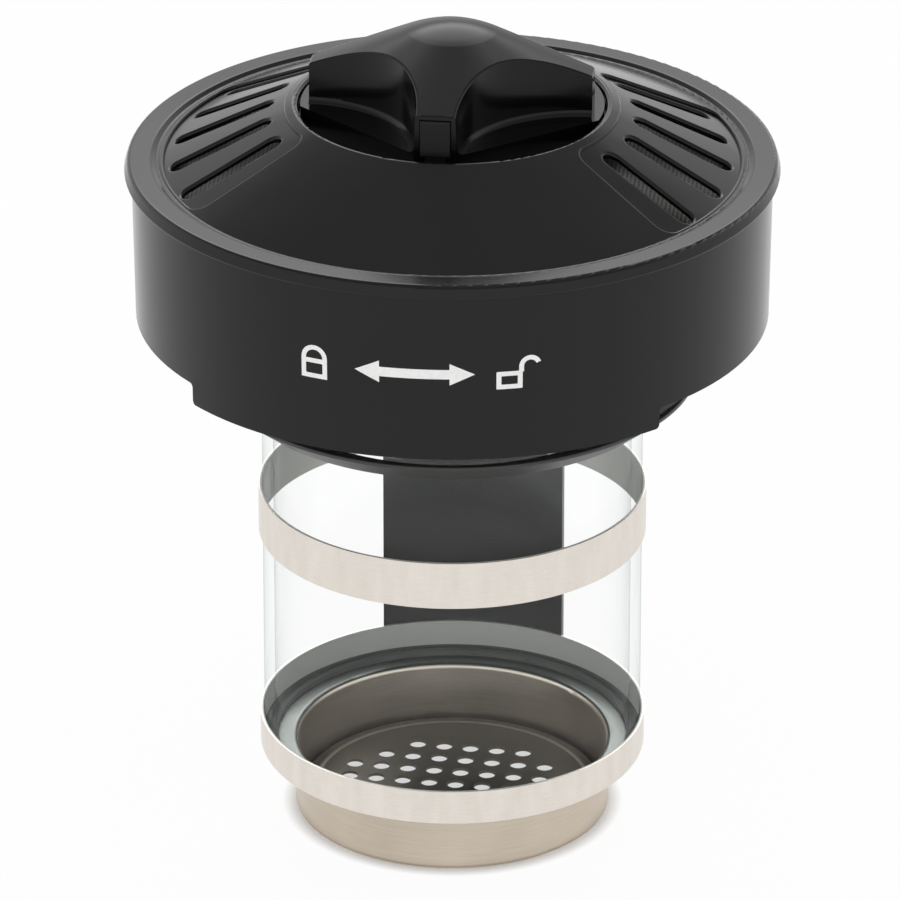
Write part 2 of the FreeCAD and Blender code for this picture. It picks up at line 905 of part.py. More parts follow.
def make_filter_screen():
    # The woven screen as a thin cone; it lies on the frame and reaches up to the knob's well.
    inner = well_outer + screen_inner_gap
    outer = skirt_inner - screen_border
    rise = screen_slope * (outer - inner)
    screen = ring([
        (inner, frame_top + rise),
        (outer, frame_top),
        (outer, frame_top + screen_sheet),
        (inner, frame_top + rise + screen_sheet),
    ])
    holes = [post(screen_boss_radius + fit_gap, screen_screw_circle, angle, frame_bottom, rim_top)
             for angle in screen_screw_angles]
    return screen.cut(Part.makeCompound(holes))


def make_screen_screws():
    screws = []
    for angle in screen_screw_angles:
        head_bottom = frame_bottom - screen_head_height
        head = post(screen_head_radius, screen_screw_circle, angle, head_bottom, frame_bottom)
        shank = post(screen_screw_radius, screen_screw_circle, angle, frame_bottom,
                     frame_bottom + screen_screw_length - edge_round)
        screws.append(head.fuse(shank))
    return Part.makeCompound(screws)


# Knob

def dome_height(radius):
    # The crown is round to dome_round, then slopes evenly.
    slope_angle = math.atan(dome_slope)
    crown = dome_round / math.sin(slope_angle)
    if radius < dome_round:
        return dome_peak - crown + math.sqrt(crown ** 2 - radius ** 2)
    return dome_peak - crown * (1 - math.cos(slope_angle)) - dome_slope * (radius - dome_round)


def make_dome():
    edge = disc_radius
    halfway = dome_round / 2
    top = Part.Arc(V(0, 0, dome_peak), V(halfway, 0, dome_height(halfway)),
                   V(dome_round, 0, dome_height(dome_round))).toShape()
    slope = Part.makeLine(V(dome_round, 0, dome_height(dome_round)), V(edge, 0, dome_height(edge)))
    side = Part.makeLine(V(edge, 0, dome_height(edge)), V(edge, 0, disc_bottom))
    base = Part.makeLine(V(edge, 0, disc_bottom), V(0, 0, disc_bottom))
    axis = Part.makeLine(V(0, 0, disc_bottom), V(0, 0, dome_peak))
    return Part.Face(Part.Wire([top, slope, side, base, axis])).revolve(origin, up, 360)


def make_scoop():
    # A drafted round alcove with a rounded foot, for the finger beside the pillar.
    scoop = ring([
        (0, deck_top),
        (scoop_foot_radius, deck_top, scoop_bend),
        (scoop_top_radius, dome_peak + margin),
        (0, dome_peak + margin),
    ])
    scoop.translate(V(scoop_x, scoop_y, 0))
    return scoop


def make_bar():
    # The grip bar and its front pillar, left between two scoops under one dome.
    length = bar_half_length
    pillar = pillar_half_width
    body = plan_prism([
        (-length, bar_back_at_end, bar_corner),
        (-length, -deck_front_at_bar),
        (-pillar, -deck_front_at_pillar),
        (-pillar, -pillar_front),
        (pillar, -pillar_front),
        (pillar, -deck_front_at_pillar),
        (length, -deck_front_at_bar),
        (length, bar_back_at_end, bar_corner),
        (0, bar_back_at_middle, bar_back_round),
    ], disc_top, dome_peak + margin)
    scoop = make_scoop()
    body = body.common(make_dome())
    body = body.cut(Part.makeCompound([scoop, mirrored(scoop)]))
    return body.makeFillet(rim_round, edges_on(body, dome_height))


def make_deck():
    # The floor of the scoops, with straight front edges from the bar's ends to the pillar.
    slope = (deck_front_at_pillar - deck_front_at_bar) / (bar_half_length - pillar_half_width)
    edge = deck_front_at_bar - slope * (deck_radius - bar_half_length)
    outline = [
        (-deck_radius, -edge),
        (-pillar_half_width, -deck_front_at_pillar),
        (pillar_half_width, -deck_front_at_pillar),
        (deck_radius, -edge),
        (deck_radius, deck_radius),
        (-deck_radius, deck_radius),
    ]
    return plan_prism(outline, disc_top, deck_top).common(disc(deck_radius, disc_top, deck_top))


def make_key(radius, half_width, bottom, top):
    # A round bar with two flats, which turns the lock plate with the knob.
    flats = block(2 * half_width, -radius, radius, bottom, top)
    return disc(radius, bottom, top).common(flats)


def make_knob():
    key_bottom = lock_plate_bottom + 3 * face_gap
    knob = fuse_all([
        disc(disc_radius, disc_bottom, disc_top),
        make_deck(),
        make_bar(),
        disc(shaft_radius, shaft_bottom, disc_bottom),
        make_key(key_radius, key_half_width, key_bottom, shaft_bottom),
    ])
    pocket = block(button_width + 2 * button_gap, button_face - margin, pocket_back,
                   button_bottom - button_gap, button_top + button_gap)
    nose_slot = block(nose_width + 2 * button_gap, -disc_radius - margin,
                      nose_front + nose_depth + button_travel + button_gap,
                      nose_bottom - button_gap, button_bottom)
    spring_bore = along_y(spring_radius + spring_wire, pocket_back - margin, spring_back, button_axis)
    bore_top = washer_bottom + knob_screw_length + margin
    screw_bore = disc(knob_screw_radius + thread_gap, key_bottom - margin, bore_top)
    return knob.cut(Part.makeCompound([pocket, nose_slot, spring_bore, screw_bore]))


def make_latch_button():
    body = block(button_width, button_face, button_back, button_bottom, button_top)
    front_edges = [edge for edge in body.Edges if edge.BoundBox.YMax < button_face + 0.01]
    body = body.makeFillet(edge_round, front_edges)
    nose_back = nose_front + nose_depth
    nose = side_prism([
        (nose_front, nose_bottom),
        (nose_front, nose_top),
        (button_face + nose_inset, nose_top),
        (button_face + nose_inset, button_bottom + margin),
        (nose_back, button_bottom + margin),
        (nose_back, nose_bottom),
    ], nose_width / 2)
    peg = along_y(spring_radius - spring_wire, button_back - margin, button_back + peg_length, button_axis)
    return fuse_all([body, nose, peg])


def make_latch_spring():
    start = button_back + spring_wire / 2 + face_gap
    length = spring_length - spring_wire - 2 * face_gap
    helix = Part.makeHelix(length / spring_turns, length, spring_radius)
    profile = Part.Wire(Part.makeCircle(spring_wire / 2, V(spring_radius, 0, 0), V(0, 1, 0)))
    coil = Part.Wire(helix).makePipeShell([profile], True, True)
    coil.rotate(origin, V(1, 0, 0), -90)
    coil.translate(V(0, start, button_axis))
    return coil


def make_arm():
    # A strip that steps down from the deflector to the height of the ledges.
    root = deflector_radius - 6 * margin
    arm_bottom = arm_top - lock_sheet
    tip = drum_inner(arm_top) - arm_gap
    drop = lock_plate_top - arm_top
    run = arm_knee_radius - deflector_radius
    slant = lock_sheet * (math.hypot(drop, run) - run) / drop
    profile = section([
        (root, lock_plate_bottom),
        (deflector_radius, lock_plate_bottom, arm_bend),
        (arm_knee_radius, arm_bottom, arm_bend),
        (tip, arm_bottom),
        (tip, arm_top),
        (arm_knee_radius + slant, arm_top, arm_bend),
        (deflector_radius + slant, lock_plate_top, arm_bend),
        (root, lock_plate_top),
    ])
    profile.translate(V(0, -arm_half_width, 0))
    return profile.extrude(V(0, 2 * arm_half_width, 0))


def make_lock_plate():
    arm = make_arm()
    plate = fuse_all([disc(deflector_radius, lock_plate_bottom, lock_plate_top)] +
                     [turned(arm, angle) for angle in arm_angles])
    return plate.cut(make_key(key_radius + face_gap, key_half_width + face_gap, lock_plate_bottom - margin,
                              lock_plate_top + margin))


def make_knob_washer():
    return tube(knob_screw_radius + fit_gap, washer_radius, washer_bottom, lock_plate_bottom)


def make_knob_screw():
    head = disc(knob_screw_head_radius, washer_bottom - knob_screw_head_height, washer_bottom)
    shank = disc(knob_screw_radius, washer_bottom, washer_bottom + knob_screw_length)
    return head.fuse(shank)


makers = {
    "glass_chamber": make_glass_chamber,
    "base_cup": make_base_cup,
    "air_plate": make_air_plate,
    "lower_band": make_lower_band,
    "upper_band": make_upper_band,
    "glass_gasket": make_glass_gasket,
    "handle_frame": make_handle_frame,
    "handle_grip": make_handle_grip,
    "handle_studs": make_handle_studs,
    "drum": make_drum,
    "collector_base": make_collector_base,
    "rim_seal": make_rim_seal,
    "chimney": make_chimney,
    "chimney_screws": make_chimney_screws,
    "cover": make_cover,
    "screen_frame": make_screen_frame,
    "filter_screen": make_filter_screen,
    "screen_screws": make_screen_screws,
    "knob": make_knob,
    "latch_button": make_latch_button,
    "latch_spring": make_latch_spring,
    "lock_plate": make_lock_plate,
    "knob_washer": make_knob_washer,
    "knob_screw": make_knob_screw,
}

os.makedirs("parts", exist_ok=True)
for name, maker in makers.items():
    shape = maker()
    shape.exportStep(os.path.join("parts", name + ".step"))
    print(name, "solids", len(shape.Solids), "valid", shape.isValid(), "volume", round(shape.Volume))
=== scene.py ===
import bpy
import bmesh
import json
import math
from mathutils import Matrix, Vector


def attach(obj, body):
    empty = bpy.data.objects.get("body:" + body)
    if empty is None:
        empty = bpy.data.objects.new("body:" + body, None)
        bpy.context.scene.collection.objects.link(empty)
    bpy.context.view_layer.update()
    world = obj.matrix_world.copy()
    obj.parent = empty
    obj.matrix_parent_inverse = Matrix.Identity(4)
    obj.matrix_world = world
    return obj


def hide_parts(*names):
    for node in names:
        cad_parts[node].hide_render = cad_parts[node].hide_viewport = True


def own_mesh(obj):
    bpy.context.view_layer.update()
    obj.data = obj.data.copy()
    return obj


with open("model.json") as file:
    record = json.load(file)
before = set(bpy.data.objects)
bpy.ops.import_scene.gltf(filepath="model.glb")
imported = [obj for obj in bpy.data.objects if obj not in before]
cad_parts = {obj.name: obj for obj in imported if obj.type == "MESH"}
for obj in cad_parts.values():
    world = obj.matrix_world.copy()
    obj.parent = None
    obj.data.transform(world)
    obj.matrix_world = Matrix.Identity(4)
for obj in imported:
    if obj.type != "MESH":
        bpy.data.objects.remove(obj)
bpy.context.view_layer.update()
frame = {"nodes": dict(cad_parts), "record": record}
nodes = frame["nodes"]
print("roaster: frame loaded,", len(nodes), "nodes")


def mm(value):
    return value / 1000


def newMaterial(name):
    mat = bpy.data.materials.new(name)
    mat.use_nodes = True
    tree = mat.node_tree
    tree.nodes.clear()
    out = tree.nodes.new("ShaderNodeOutputMaterial")
    shader = tree.nodes.new("ShaderNodeBsdfPrincipled")
    tree.links.new(shader.outputs["BSDF"], out.inputs["Surface"])
    return mat, tree, shader, out


def objectPoint(tree):
    return tree.nodes.new("ShaderNodeTexCoord").outputs["Object"]


def noise(tree, point, scale, detail=3.0, roughness=0.5):
    node = tree.nodes.new("ShaderNodeTexNoise")
    node.inputs["Scale"].default_value = scale
    node.inputs["Detail"].default_value = detail
    node.inputs["Roughness"].default_value = roughness
    tree.links.new(point, node.inputs["Vector"])
    return node.outputs["Fac"]


def mathStep(tree, kind, a, b=None):
    node = tree.nodes.new("ShaderNodeMath")
    node.operation = kind
    for slotIndex, value in ((0, a), (1, b)):
        if value is None:
            continue
        if isinstance(value, (int, float)):
            node.inputs[slotIndex].default_value = value
        else:
            tree.links.new(value, node.inputs[slotIndex])
    return node.outputs[0]


def spread(tree, value, lowIn, highIn, lowOut, highOut):
    node = tree.nodes.new("ShaderNodeMapRange")
    tree.links.new(value, node.inputs["Value"])
    ends = (("From Min", lowIn), ("From Max", highIn), ("To Min", lowOut), ("To Max", highOut))
    for name, number in ends:
        node.inputs[name].default_value = number
    return node.outputs["Result"]


def blendColours(tree, factor, colourA, colourB):
    node = tree.nodes.new("ShaderNodeMix")
    node.data_type = "RGBA"
    tree.links.new(factor, node.inputs["Factor"])
    for name, colour in (("A", colourA), ("B", colourB)):
        socket = [s for s in node.inputs if s.name == name and s.type == "RGBA"][0]
        if isinstance(colour, (tuple, list)):
            socket.default_value = (*colour, 1)
        else:
            tree.links.new(colour, socket)
    return [s for s in node.outputs if s.type == "RGBA"][0]


def bump(tree, shader, height, strength, distance):
    node = tree.nodes.new("ShaderNodeBump")
    node.inputs["Strength"].default_value = strength
    node.inputs["Distance"].default_value = distance
    tree.links.new(height, node.inputs["Height"])
    tree.links.new(node.outputs["Normal"], shader.inputs["Normal"])
    return node


def separate(tree, vector):
    node = tree.nodes.new("ShaderNodeSeparateXYZ")
    tree.links.new(vector, node.inputs[0])
    return node.outputs


def axisParts(tree):
    # angle, height and radius about the roaster's axis
    x, y, z = separate(tree, objectPoint(tree))
    angle = mathStep(tree, "ARCTAN2", y, x)
    squares = [mathStep(tree, "MULTIPLY", side, side) for side in (x, y)]
    return angle, z, mathStep(tree, "SQRT", mathStep(tree, "ADD", *squares))


def axisRadius(tree):
    return axisParts(tree)[2]


def axisPoint(tree, turns, rise, out):
    # the point as (angle, height, radius), each stretched on its own
    join = tree.nodes.new("ShaderNodeCombineXYZ")
    for socket, part, stretch in zip(join.inputs, axisParts(tree), (turns, rise, out)):
        tree.links.new(mathStep(tree, "MULTIPLY", part, stretch), socket)
    return join.outputs[0]


def mixShares(tree, first, second, share):
    ours = mathStep(tree, "MULTIPLY", first, share)
    rest = mathStep(tree, "MULTIPLY", second, 1 - share)
    return mathStep(tree, "ADD", ours, rest)


def roughen(tree, shader, value, look, inLow=0.3, inHigh=0.7):
    low = look["roughness"] - look["smoother"]
    high = look["roughness"] + look["rougher"]
    tree.links.new(spread(tree, value, inLow, inHigh, low, high), shader.inputs["Roughness"])


def scaled(colour, share):
    return tuple(part * share for part in colour)


glossBlack = {
    "colour": (0.0026, 0.0026, 0.0028), "lighter": 1.25,
    "roughness": 0.15, "roughnessRange": 0.03, "fineRoughness": 0.02,
    "specular": 0.31,
    "cloudScale": 22, "fineScale": 900, "fineShare": 0.15,
    "ripple": 0.12, "rippleDepth": 0.08,     # the depth is in millimetres, here and below
}
knobBlack = {**glossBlack, "roughness": 0.13, "specular": 0.24, "ripple": 0.1}


def makeGlossBlack(name, look):
    mat, tree, shader, out = newMaterial(name)
    shader.inputs["Specular IOR Level"].default_value = look["specular"]
    point = objectPoint(tree)
    cloud = noise(tree, point, look["cloudScale"], 4)
    fine = noise(tree, point, look["fineScale"], 2)
    lighter = scaled(look["colour"], look["lighter"])
    colour = blendColours(tree, spread(tree, cloud, 0.35, 0.65, 0, 1), look["colour"], lighter)
    tree.links.new(colour, shader.inputs["Base Color"])
    low = look["roughness"] - look["roughnessRange"]
    high = look["roughness"] + look["roughnessRange"]
    film = spread(tree, cloud, 0.3, 0.7, low, high)
    rough = mathStep(tree, "ADD", film, mathStep(tree, "MULTIPLY", fine, look["fineRoughness"]))
    tree.links.new(rough, shader.inputs["Roughness"])
    height = mathStep(tree, "ADD", mathStep(tree, "MULTIPLY", fine, look["fineShare"]), cloud)
    bump(tree, shader, height, look["ripple"], mm(look["rippleDepth"]))
    return mat


satinBlack = {
    "colour": (0.006, 0.006, 0.0064), "lighter": 1.3,
    "roughness": 0.4, "smoother": 0.04, "rougher": 0.04,
    "specular": 0.3, "cloudScale": 30,
    "grainScale": 4200, "grain": 0.22, "grainDepth": 0.03,
}
# painted light: the handle's black is lighter than the other satin mouldings, standing in for light that
# its face behind the glass lacks
handlePaintedLightBlack = {
    **satinBlack,
    "colour": (0.034, 0.034, 0.0345), "roughness": 0.42,
    "specular": 0.5, "grainScale": 6000, "grain": 0.15,
}


def makeSatinBlack(name, look):
    mat, tree, shader, out = newMaterial(name)
    shader.inputs["Specular IOR Level"].default_value = look["specular"]
    point = objectPoint(tree)
    grain = noise(tree, point, look["grainScale"], 2)
    cloud = noise(tree, point, look["cloudScale"], 3)
    lighter = scaled(look["colour"], look["lighter"])
    colour = blendColours(tree, spread(tree, cloud, 0.35, 0.65, 0, 1), look["colour"], lighter)
    tree.links.new(colour, shader.inputs["Base Color"])
    roughen(tree, shader, cloud, look)
    bump(tree, shader, grain, look["grain"], mm(look["grainDepth"]))
    return mat


silicone = {
    "colour": (0.012, 0.012, 0.012), "dust": (0.024, 0.0235, 0.022), "dustScale": 160,
    "roughness": 0.6, "smoother": 0.05, "rougher": 0.08,
    "grainScale": 1800, "grain": 0.3, "grainDepth": 0.03,
}
# painted light: the gasket's colour and dust are paler than black silicone, standing in for how the
# glass's thick foot shows it
gasketPaintedPaleLook = {**silicone, "colour": (0.1, 0.106, 0.1), "dust": (0.14, 0.145, 0.137)}


def makeSilicone(name, look):
    mat, tree, shader, out = newMaterial(name)
    point = objectPoint(tree)
    dust = noise(tree, point, look["dustScale"], 5)
    colour = blendColours(tree, spread(tree, dust, 0.45, 0.8, 0, 1), look["colour"], look["dust"])
    tree.links.new(colour, shader.inputs["Base Color"])
    roughen(tree, shader, dust, look)
    grain = noise(tree, point, look["grainScale"], 2)
    bump(tree, shader, grain, look["grain"], mm(look["grainDepth"]))
    return mat


bandSteel = {
    "colour": (0.875, 0.825, 0.76), "shade": (0.71, 0.655, 0.595),
    "roughness": 0.3, "smoother": 0.06, "rougher": 0.1,
    "anisotropic": 0.6,
    "grainStretch": (9, 9000, 9000),     # about the axis, upwards and outwards
    "broadStretch": (14, 60, 60), "grainShare": 0.66,
    "grain": 0.2, "grainDepth": 0.03,
    "insideTo": 52.4,                    # the face with painted light ends here, in millimetres from the axis
}


def makeBandSteel(name, paintedInsideColour):
    # the strip is brushed along its length, so the grain runs round the axis
    mat, tree, shader, out = newMaterial(name)
    shader.inputs["Metallic"].default_value = 1
    shader.inputs["Anisotropic"].default_value = bandSteel["anisotropic"]
    grain = noise(tree, axisPoint(tree, *bandSteel["grainStretch"]), 1.0, 4, 0.6)
    broad = noise(tree, axisPoint(tree, *bandSteel["broadStretch"]), 1.0, 3)
    tone = spread(tree, mixShares(tree, grain, broad, bandSteel["grainShare"]), 0.3, 0.7, 0, 1)
    bright = blendColours(tree, tone, bandSteel["shade"], bandSteel["colour"])
    # painted light: the face against the glass gets a flat, non-metal grey that stands in for how it
    # looks through the glass's thick foot
    inside = mathStep(tree, "LESS_THAN", axisRadius(tree), mm(bandSteel["insideTo"]))
    tree.links.new(blendColours(tree, inside, bright, paintedInsideColour), shader.inputs["Base Color"])
    tree.links.new(mathStep(tree, "SUBTRACT", 1, inside), shader.inputs["Metallic"])
    roughen(tree, shader, grain, bandSteel)
    tangent = tree.nodes.new("ShaderNodeTangent")
    tangent.direction_type = "RADIAL"
    tangent.axis = "Z"
    tree.links.new(tangent.outputs[0], shader.inputs["Tangent"])
    bump(tree, shader, grain, bandSteel["grain"], mm(bandSteel["grainDepth"]))
    return mat


drawnSteel = {
    "colour": (0.635, 0.55, 0.452), "shade": (0.51, 0.443, 0.357),
    "roughness": 0.34, "smoother": 0.06, "rougher": 0.1,
    "spunStretch": (3, 2600, 2600), "spunShare": 0.45, "cloudScale": 45,
    "grain": 0.15, "grainDepth": 0.03,
    "insideTo": 42.85,       # the cup wall's middle, in millimetres from the axis
    "seatLie": (0.3, 0.8),   # how level a face is where it turns into a seat
}


def makeDrawnSteel(name, paintedInsideLight, paintedSeatShade):
    # spun round its axis; the inside tint is painted light, lightening and greying the inside
    mat, tree, shader, out = newMaterial(name)
    shader.inputs["Metallic"].default_value = 1
    spun = noise(tree, axisPoint(tree, *drawnSteel["spunStretch"]), 1.0, 4, 0.6)
    cloud = noise(tree, objectPoint(tree), drawnSteel["cloudScale"], 4)
    mixed = mixShares(tree, spun, cloud, drawnSteel["spunShare"])
    tone = spread(tree, mixed, 0.35, 0.65, 0, 1)
    clean = blendColours(tree, tone, drawnSteel["shade"], drawnSteel["colour"])
    inside = mathStep(tree, "LESS_THAN", axisRadius(tree), mm(drawnSteel["insideTo"]))
    lit = tree.nodes.new("ShaderNodeVectorMath")
    lit.operation = "MULTIPLY"
    tree.links.new(clean, lit.inputs[0])
    tree.links.new(blendColours(tree, inside, (1, 1, 1), paintedInsideLight), lit.inputs[1])
    # painted shade: the seat under the glass gets a darker colour for the shade of the glass's thick foot
    lie = separate(tree, tree.nodes.new("ShaderNodeNewGeometry").outputs["Normal"])
    flat = spread(tree, lie[2], *drawnSteel["seatLie"], 0, 1)
    flat = mathStep(tree, "MULTIPLY", flat, mathStep(tree, "SUBTRACT", 1, inside))
    tree.links.new(blendColours(tree, flat, lit.outputs[0], paintedSeatShade), shader.inputs["Base Color"])
    roughen(tree, shader, mixed, drawnSteel, 0.35, 0.65)
    bump(tree, shader, spun, drawnSteel["grain"], mm(drawnSteel["grainDepth"]))
    return mat


plainSteel = {
    "colour": (0.6, 0.6, 0.58), "shade": 0.85, "cloudScale": 300,
    "roughness": 0.3, "smoother": 0.05, "rougher": 0.1,
}


def makePlainSteel():
    mat, tree, shader, out = newMaterial("plainSteel")
    shader.inputs["Metallic"].default_value = 1
    cloud = noise(tree, objectPoint(tree), plainSteel["cloudScale"], 3)
    shade = scaled(plainSteel["colour"], plainSteel["shade"])
    tree.links.new(blendColours(tree, cloud, shade, plainSteel["colour"]), shader.inputs["Base Color"])
    roughen(tree, shader, cloud, plainSteel)
    return mat


wovenSteel = {
    # painted shade: the wire's steel colour is darkened for the dark chamber it lies in, and the gaps
    # between wires are painted near black for the shade seen through the mesh
    "wire": (0.2, 0.2, 0.19), "gapPaintedShade": (0.004, 0.004, 0.004),
    "pitch": 1.1,            # millimetres from wire to wire
    "wireEdge": (-0.2, 0.25),
    "relief": 0.6, "reliefDepth": 0.2,
}


def makeWovenSteel():
    mat, tree, shader, out = newMaterial("wovenSteel")
    sides = separate(tree, objectPoint(tree))[:2]
    turn = 2 * math.pi / mm(wovenSteel["pitch"])
    waves = [mathStep(tree, "SINE", mathStep(tree, "MULTIPLY", side, turn)) for side in sides]
    wire = spread(tree, mathStep(tree, "MINIMUM", *waves), *wovenSteel["wireEdge"], 1, 0)
    colour = blendColours(tree, wire, wovenSteel["gapPaintedShade"], wovenSteel["wire"])
    tree.links.new(colour, shader.inputs["Base Color"])
    tree.links.new(spread(tree, wire, 0, 1, 0, 0.9), shader.inputs["Metallic"])
    tree.links.new(spread(tree, wire, 0, 1, 0.9, 0.4), shader.inputs["Roughness"])
    bump(tree, shader, wire, wovenSteel["relief"], mm(wovenSteel["reliefDepth"]))
    return mat


glassLook = {
    "tint": (0.998, 1.0, 0.999),
    "edgeTint": (0.7, 0.75, 0.74),   # where one looks along the wall
    "edgePower": 9,                  # higher keeps that tint nearer the edge
    "mirrorAhead": 0.012, "mirrorEdge": 0.16, "mirrorPower": 5,
    "sheen": (0.9, 0.92, 0.92), "roughness": 0.02,
}


def makeGlass():
    # thin clear glass: light goes straight through, and the surface mirrors more towards its edges
    mat, tree, shader, out = newMaterial("clearGlass")
    tree.nodes.remove(shader)
    through = tree.nodes.new("ShaderNodeBsdfTransparent")
    mirror = tree.nodes.new("ShaderNodeBsdfGlossy")
    mirror.inputs["Color"].default_value = (*glassLook["sheen"], 1)
    mirror.inputs["Roughness"].default_value = glassLook["roughness"]
    facing = tree.nodes.new("ShaderNodeLayerWeight").outputs["Facing"]
    along = mathStep(tree, "POWER", facing, glassLook["edgePower"])
    tint = blendColours(tree, along, glassLook["tint"], glassLook["edgeTint"])
    tree.links.new(tint, through.inputs["Color"])
    aside = mathStep(tree, "POWER", facing, glassLook["mirrorPower"])
    edge = spread(tree, aside, 0, 1, glassLook["mirrorAhead"], glassLook["mirrorEdge"])
    path = tree.nodes.new("ShaderNodeLightPath")
    lit = mathStep(tree, "SUBTRACT", 1, path.outputs["Is Shadow Ray"])
    mix = tree.nodes.new("ShaderNodeMixShader")
    tree.links.new(mathStep(tree, "MULTIPLY", edge, lit), mix.inputs[0])
    tree.links.new(through.outputs[0], mix.inputs[1])
    tree.links.new(mirror.outputs[0], mix.inputs[2])
    tree.links.new(mix.outputs[0], out.inputs["Surface"])
    return mat


printInk = {"colour": (0.95, 0.95, 0.94), "worn": 0.93, "cloudScale": 700, "roughness": 0.45}


def makePrintInk():
    mat, tree, shader, out = newMaterial("whitePrint")
    cloud = noise(tree, objectPoint(tree), printInk["cloudScale"], 3)
    worn = scaled(printInk["colour"], printInk["worn"])
    colour = blendColours(tree, spread(tree, cloud, 0.4, 0.7, 0, 1), printInk["colour"], worn)
    tree.links.new(colour, shader.inputs["Base Color"])
    shader.inputs["Roughness"].default_value = printInk["roughness"]
    return mat


airPlateSteel = {
    "colour": (0.13, 0.12, 0.1), "shade": (0.08, 0.073, 0.062),
    "roughness": 0.42, "smoother": 0.06, "rougher": 0.1,
    "cloudScale": 60, "speckScale": 900, "speckShare": 0.3,
    "bead": 37.8,            # the bead pressed round the holes, in millimetres from the axis
    "beadWidth": 0.9, "beadPaintedHighlight": (0.42, 0.4, 0.37),
    "beadRelief": 0.5, "beadDepth": 0.4,
}


def makeAirPlateSteel():
    # the air plate, a dark brownish steel
    mat, tree, shader, out = newMaterial("airPlateSteel")
    shader.inputs["Metallic"].default_value = 1
    cloud = noise(tree, objectPoint(tree), airPlateSteel["cloudScale"], 5, 0.6)
    speck = noise(tree, objectPoint(tree), airPlateSteel["speckScale"], 2)
    mixed = mixShares(tree, speck, cloud, airPlateSteel["speckShare"])
    tone = spread(tree, mixed, 0.35, 0.65, 0, 1)
    plateTone = blendColours(tree, tone, airPlateSteel["shade"], airPlateSteel["colour"])
    fromBead = mathStep(tree, "SUBTRACT", axisRadius(tree), mm(airPlateSteel["bead"]))
    away = mathStep(tree, "ABSOLUTE", fromBead)
    bead = spread(tree, away, 0, mm(airPlateSteel["beadWidth"]), 1, 0)
    # painted highlight: the bead is coloured lighter where its rounded edge catches the light
    colour = blendColours(tree, bead, plateTone, airPlateSteel["beadPaintedHighlight"])
    tree.links.new(colour, shader.inputs["Base Color"])
    bump(tree, shader, bead, airPlateSteel["beadRelief"], mm(airPlateSteel["beadDepth"]))
    roughen(tree, shader, mixed, airPlateSteel, 0.35, 0.65)
    return mat


finishes = {
    "black_gloss": makeGlossBlack("glossBlackMoulding", glossBlack),
    "black_moulding": makeSatinBlack("satinBlackMoulding", satinBlack),
    "black_silicone": makeSilicone("blackSilicone", silicone),
    # painted light: a flat grey on the band's face against the glass
    "brushed_band": makeBandSteel("brushedBandSteel", (0.6, 0.62, 0.59)),
    "drawn_steel": makeDrawnSteel("drawnSteel", (1, 1, 1), drawnSteel["colour"]),
    "screw_steel": makePlainSteel(),
    "spring_steel": makePlainSteel(),
    "woven_steel": makeWovenSteel(),
    "clear_glass": makeGlass(),
}
ink = makePrintInk()
ownFinish = {
    "air_plate": makeAirPlateSteel(),
    # painted light: a flat grey on the band's face against the glass
    "upper_band": makeBandSteel("upperBandSteel", (0.72, 0.73, 0.7)),
    # painted light on the cup's inside, and painted shade on its seat under the glass
    "base_cup": makeDrawnSteel("cupSteel", (1.45, 1.56, 1.7), (0.24, 0.255, 0.245)),
    # painted light: the gasket's paler colour
    "glass_gasket": makeSilicone("gasketSilicone", gasketPaintedPaleLook),
    # painted light in the handle's lighter black
    "handle_frame": makeSatinBlack("handleMoulding", handlePaintedLightBlack),
    "knob": makeGlossBlack("knobMoulding", knobBlack),
}
for part in frame["record"]["subparts"]:
    node = nodes[part["node"]]
    node.data.materials.clear()
    node.data.materials.append(ownFinish.get(part["node"], finishes[part["material_slot"]]))
    for face in node.data.polygons:
        face.material_index = 0
print("roaster: finishes on every node")


def makeSpring():
    # a copy of the latch spring, carried by the knob
    source = nodes["latch_spring"]
    piece = bpy.data.objects.new("latchSpringCoil", source.data.copy())
    piece.matrix_world = source.matrix_world
    bpy.context.scene.collection.objects.link(piece)
    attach(piece, "knob")
    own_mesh(piece)
    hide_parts("latch_spring")
    return piece


makeSpring()

printing = {
    "height": 167.7,         # the arrow's middle above the cup's foot, in millimetres
    "lift": 0.06, "line": 1.3,
    "strip": 0.8, "reach": 40,   # the flat signs are cut into strips of this width, to each side
}
# the drum's outside, in millimetres
drum = {"topRadius": 85.9, "bottomRadius": 85.2, "topHeight": 189.6, "bottomHeight": 143.1}


def drumPoint(across, rise):
    # across is in degrees about the axis, rise in millimetres from the foot
    lean = (drum["topRadius"] - drum["bottomRadius"]) / (drum["topHeight"] - drum["bottomHeight"])
    radius = drum["bottomRadius"] + lean * (rise - drum["bottomHeight"]) + printing["lift"]
    turn = math.radians(across)
    return Vector((mm(radius * math.cos(turn)), mm(radius * math.sin(turn)), mm(rise)))


